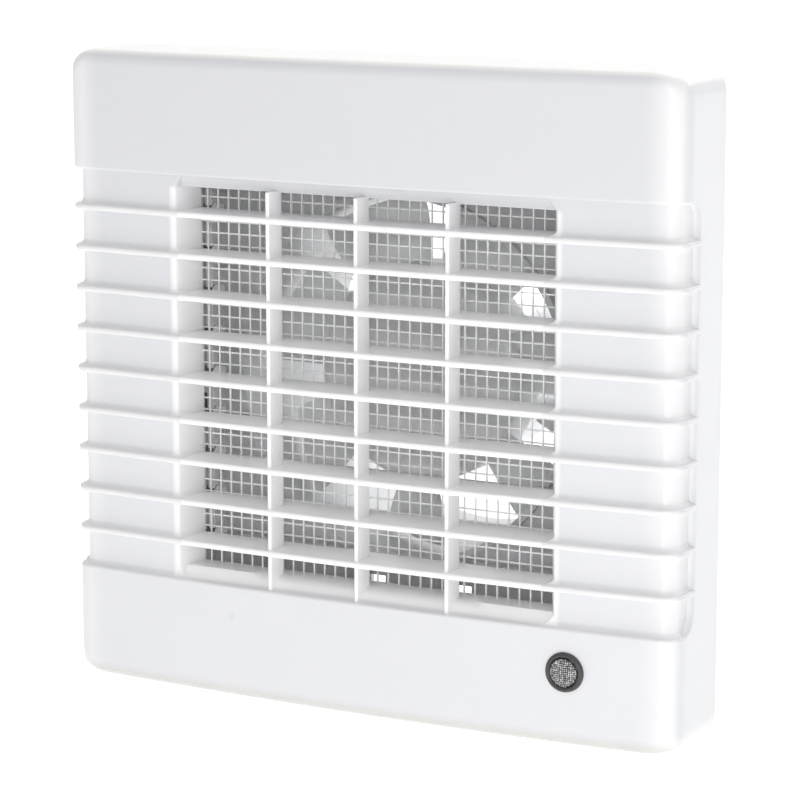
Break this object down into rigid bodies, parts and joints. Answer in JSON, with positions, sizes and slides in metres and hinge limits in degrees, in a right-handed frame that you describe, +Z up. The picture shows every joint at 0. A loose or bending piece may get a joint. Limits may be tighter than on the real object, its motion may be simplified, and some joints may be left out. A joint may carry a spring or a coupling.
{
  "type": "wall ventilation unit",
  "caption": "Wall extract fan unit for a round duct: bowed slatted cover, insect screen, linked shutter flaps opened by a thermal actuator, impeller and motor in the spigot.",
  "frame": {"origin": "on the duct spigot's axis in the plane of the wall, where the base plate's back face meets the spigot", "axes": "+Y runs out of the back along the duct, -Y faces the room, +Z is up and +X is to the right seen from the room"},
  "size_m": [0.174, 0.0786, 0.166],
  "materials": {
    "cover_plastic": "gloss white moulded plastic",
    "casing_plastic": "white moulded plastic",
    "screen_plastic": "pale fine mesh",
    "shutter_plastic": "satin white moulded plastic",
    "impeller_plastic": "pale grey moulded plastic",
    "dark_plastic": "dark moulded plastic",
    "fitting_plastic": "natural moulded plastic",
    "lamp_smoke": "smoke-grey faceted lens",
    "led_resin": "clear resin",
    "board_laminate": "green lacquered laminate",
    "rubber": "matte black",
    "lead_insulation": "soft satin insulation",
    "steel": "zinc plated",
    "lamination": "stacked sheet steel",
    "brass": "machined",
    "copper_winding": "enamelled wire"
  },
  "bodies": {
    "casing": {"front_cover": "cover_plastic", "louvre_grille": "cover_plastic", "screen_frame": "screen_plastic", "screen_wires": "screen_plastic", "rear_casing": "casing_plastic", "base_rim": "casing_plastic", "base_posts": "casing_plastic", "duct_spigot": "casing_plastic", "motor_bracket": "casing_plastic", "shutter_frame": "shutter_plastic", "actuator_body": "dark_plastic", "actuator_clip": "fitting_plastic", "return_spring": "steel", "stator_core": "lamination", "stator_coils": "copper_winding", "motor_front_cap": "steel", "motor_rear_cap": "steel", "front_bearing": "brass", "rear_bearing": "brass", "motor_screws": "steel", "shutter_screws": "steel", "terminal_block": "fitting_plastic", "terminal_screws": "brass", "control_board": "board_laminate", "board_parts": "dark_plastic", "board_screws": "steel", "lamp_led": "led_resin", "lamp_bezel": "dark_plastic", "lamp_lens": "lamp_smoke", "cable_grommet": "rubber", "cord_clamp": "fitting_plastic", "clamp_screws": "steel", "clip_screw": "steel", "cover_screw": "steel", "motor_leads": "lead_insulation", "actuator_leads": "lead_insulation", "lamp_leads": "lead_insulation"},
    "plunger": {"actuator_plunger": "steel"},
    "link_bar": {"link_bar": "shutter_plastic"},
    "fan": {"rotor": "lamination", "motor_shaft": "steel", "impeller": "impeller_plastic", "impeller_blades": "impeller_plastic"},
    "flap_1": {"flap_1": "shutter_plastic"},
    "flap_2": {"flap_2": "shutter_plastic"},
    "flap_3": {"flap_3": "shutter_plastic"},
    "flap_4": {"flap_4": "shutter_plastic"},
    "flap_5": {"flap_5": "shutter_plastic"},
    "flap_6": {"flap_6": "shutter_plastic"},
    "flap_7": {"flap_7": "shutter_plastic"},
    "flap_8": {"flap_8": "shutter_plastic"},
    "flap_9": {"flap_9": "shutter_plastic"},
    "flap_10": {"flap_10": "shutter_plastic"}
  },
  "joints": [
    {"name": "flap_1_hinge", "type": "hinge", "parent": "casing", "child": "flap_1", "pos_m": [0, -0.0128, 0.0505], "axis": [-1, 0, 0], "range_deg": [0, 84]},
    {"name": "flap_2_hinge", "type": "hinge", "parent": "casing", "child": "flap_2", "pos_m": [0, -0.0128, 0.0398], "axis": [-1, 0, 0], "range_deg": [0, 84]},
    {"name": "flap_3_hinge", "type": "hinge", "parent": "casing", "child": "flap_3", "pos_m": [0, -0.0128, 0.0291], "axis": [-1, 0, 0], "range_deg": [0, 84]},
    {"name": "flap_4_hinge", "type": "hinge", "parent": "casing", "child": "flap_4", "pos_m": [0, -0.0128, 0.0184], "axis": [-1, 0, 0], "range_deg": [0, 84]},
    {"name": "flap_5_hinge", "type": "hinge", "parent": "casing", "child": "flap_5", "pos_m": [0, -0.0128, 0.0077], "axis": [-1, 0, 0], "range_deg": [0, 84]},
    {"name": "flap_6_hinge", "type": "hinge", "parent": "casing", "child": "flap_6", "pos_m": [0, -0.0128, -0.003], "axis": [-1, 0, 0], "range_deg": [0, 84]},
    {"name": "flap_7_hinge", "type": "hinge", "parent": "casing", "child": "flap_7", "pos_m": [0, -0.0128, -0.0137], "axis": [-1, 0, 0], "range_deg": [0, 84]},
    {"name": "flap_8_hinge", "type": "hinge", "parent": "casing", "child": "flap_8", "pos_m": [0, -0.0128, -0.0244], "axis": [-1, 0, 0], "range_deg": [0, 84]},
    {"name": "flap_9_hinge", "type": "hinge", "parent": "casing", "child": "flap_9", "pos_m": [0, -0.0128, -0.0351], "axis": [-1, 0, 0], "range_deg": [0, 84]},
    {"name": "flap_10_hinge", "type": "hinge", "parent": "casing", "child": "flap_10", "pos_m": [0, -0.0128, -0.0458], "axis": [-1, 0, 0], "range_deg": [0, 84]},
    {"name": "link_bar_pivot", "type": "hinge", "parent": "flap_1", "child": "link_bar", "pos_m": [-0.052, -0.0102, 0.05284], "axis": [1, 0, 0], "range_deg": [0, 84]},
    {"name": "plunger_slide", "type": "slide", "parent": "casing", "child": "plunger", "axis": [0, 0, 1], "range_m": [-0.0047, 0], "deforming": ["return_spring"]},
    {"name": "fan_spin", "type": "hinge", "parent": "casing", "child": "fan", "pos_m": [0, 0.01, 0], "axis": [0, 1, 0], "continuous": true}
  ],
  "couplings": [
    {"joint": "flap_2_hinge", "follows": "flap_1_hinge", "ratio": 1},
    {"joint": "flap_3_hinge", "follows": "flap_1_hinge", "ratio": 1},
    {"joint": "flap_4_hinge", "follows": "flap_1_hinge", "ratio": 1},
    {"joint": "flap_5_hinge", "follows": "flap_1_hinge", "ratio": 1},
    {"joint": "flap_6_hinge", "follows": "flap_1_hinge", "ratio": 1},
    {"joint": "flap_7_hinge", "follows": "flap_1_hinge", "ratio": 1},
    {"joint": "flap_8_hinge", "follows": "flap_1_hinge", "ratio": 1},
    {"joint": "flap_9_hinge", "follows": "flap_1_hinge", "ratio": 1},
    {"joint": "flap_10_hinge", "follows": "flap_1_hinge", "ratio": 1},
    {"joint": "link_bar_pivot", "follows": "flap_1_hinge", "ratio": 1},
    {"joint": "plunger_slide", "follows": "flap_1_hinge", "m_per_rad": -0.0031949}
  ]
}
